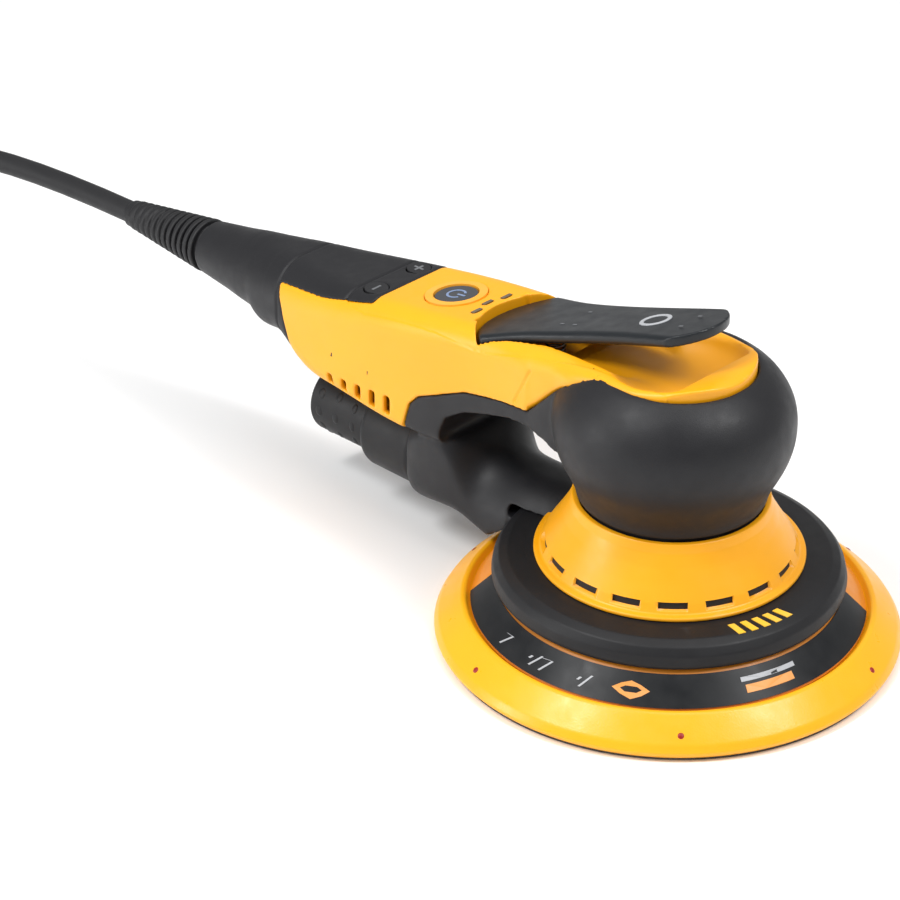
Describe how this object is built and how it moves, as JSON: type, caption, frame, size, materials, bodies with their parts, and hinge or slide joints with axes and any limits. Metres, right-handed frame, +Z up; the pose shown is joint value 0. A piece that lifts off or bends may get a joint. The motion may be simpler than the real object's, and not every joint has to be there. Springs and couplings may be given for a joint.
{
  "type": "orbital sander",
  "caption": "Electric random orbital sander with a round hook-faced pad, palm grip, lever switch, rear handle with dust-hose spigot, and a mains cord.",
  "frame": {"origin": "on the motor axis, in the plane of the sanding pad's working face, on which the tool stands", "axes": "+X towards the nose, handle and cord along -X; +Z up along the motor axis; +Y to the left"},
  "size_m": [0.6159, 0.2131, 0.1159],
  "materials": {
    "yellow_plastic": "satin moulded plastic",
    "pad_orange": "satin moulded plastic",
    "pad_foam_yellow": "smooth foam skin",
    "black_plastic": "fine textured moulding",
    "grip_rubber": "soft-touch overmould",
    "lever_plastic": "satin moulded plastic",
    "label_print": "printed film",
    "hook_fabric": "hook fastener",
    "button_gloss": "gloss keycap",
    "lamp_smoke": "smoked window",
    "red_plastic": "moulded bush",
    "steel": "ground steel",
    "aluminium": "machined",
    "laminations": "stacked sheet",
    "copper": "enamelled wire",
    "board_green": "solder mask",
    "grey_plastic": "moulded",
    "cord_rubber": "rubber sheath",
    "brass_pins": "nickel-brass pins"
  },
  "bodies": {
    "housing": {"upper_bearing": "steel", "lower_bearing": "steel", "dust_skirt": "black_plastic", "brake_seal": "grip_rubber", "skirt_screws": "steel", "cooling_collar": "yellow_plastic", "motor_casing": "black_plastic", "stator_core": "laminations", "stator_windings": "copper", "palm_grip": "grip_rubber", "top_cover": "yellow_plastic", "handle_shell": "yellow_plastic", "rear_grip": "grip_rubber", "handle_web": "black_plastic", "exhaust_duct": "black_plastic", "lever_pin": "steel", "lever_bracket": "grey_plastic", "lever_spring": "steel", "button_ring": "yellow_plastic", "status_lamps": "lamp_smoke", "control_board": "board_green", "capacitors": "aluminium", "power_switch": "grey_plastic", "speed_switches": "grey_plastic", "lever_sensor": "grey_plastic", "supply_leads": "copper", "rear_cone": "black_plastic", "strain_relief": "cord_rubber", "cord": "cord_rubber", "cord_inner_end": "cord_rubber", "cord_coil": "cord_rubber", "plug_body": "black_plastic", "plug_pins": "brass_pins", "cord_clamp": "grey_plastic"},
    "spindle": {"spindle_shaft": "steel", "rotor_magnets": "laminations", "cooling_fan": "grey_plastic", "balance_weight": "aluminium", "pad_bearing": "steel"},
    "pad": {"hook_face": "hook_fabric", "pad_foam": "pad_foam_yellow", "pad_plate": "pad_orange", "pad_label": "label_print", "rim_bushes": "red_plastic", "pad_spindle": "steel", "pad_screw": "steel"},
    "lever": {"lever_paddle": "lever_plastic"},
    "hose_swivel": {"hose_collar": "black_plastic", "hose_spigot": "black_plastic"},
    "power_button": {"power_button": "button_gloss"},
    "speed_up": {"speed_up_button": "grip_rubber"},
    "speed_down": {"speed_down_button": "grip_rubber"}
  },
  "joints": [
    {"name": "spindle_spin", "type": "hinge", "parent": "housing", "child": "spindle", "pos_m": [0, 0, 0.06], "axis": [0, 0, 1], "continuous": true},
    {"name": "pad_spin", "type": "hinge", "parent": "spindle", "child": "pad", "pos_m": [0.00087, -0.0009, 0.02], "axis": [0, 0, 1], "continuous": true},
    {"name": "lever_press", "type": "hinge", "parent": "housing", "child": "lever", "pos_m": [-0.068, 0, 0.078], "axis": [0, 1, 0], "range_deg": [0, 8], "stiffness_Nm_per_rad": 0.6, "springref_deg": -2.86},
    {"name": "power_press", "type": "slide", "parent": "housing", "child": "power_button", "axis": [0.1392, 0, -0.9903], "range_m": [0, 0.0008], "stiffness_N_per_m": 400, "springref_m": -0.0004},
    {"name": "speed_up_press", "type": "slide", "parent": "housing", "child": "speed_up", "axis": [0, 0, -1], "range_m": [0, 0.0006], "stiffness_N_per_m": 400, "springref_m": -0.0004},
    {"name": "speed_down_press", "type": "slide", "parent": "housing", "child": "speed_down", "axis": [0, 0, -1], "range_m": [0, 0.0006], "stiffness_N_per_m": 400, "springref_m": -0.0004},
    {"name": "hose_turn", "type": "hinge", "parent": "housing", "child": "hose_swivel", "pos_m": [-0.11, 0, 0.0267], "axis": [1, 0, 0], "continuous": true}
  ]
}
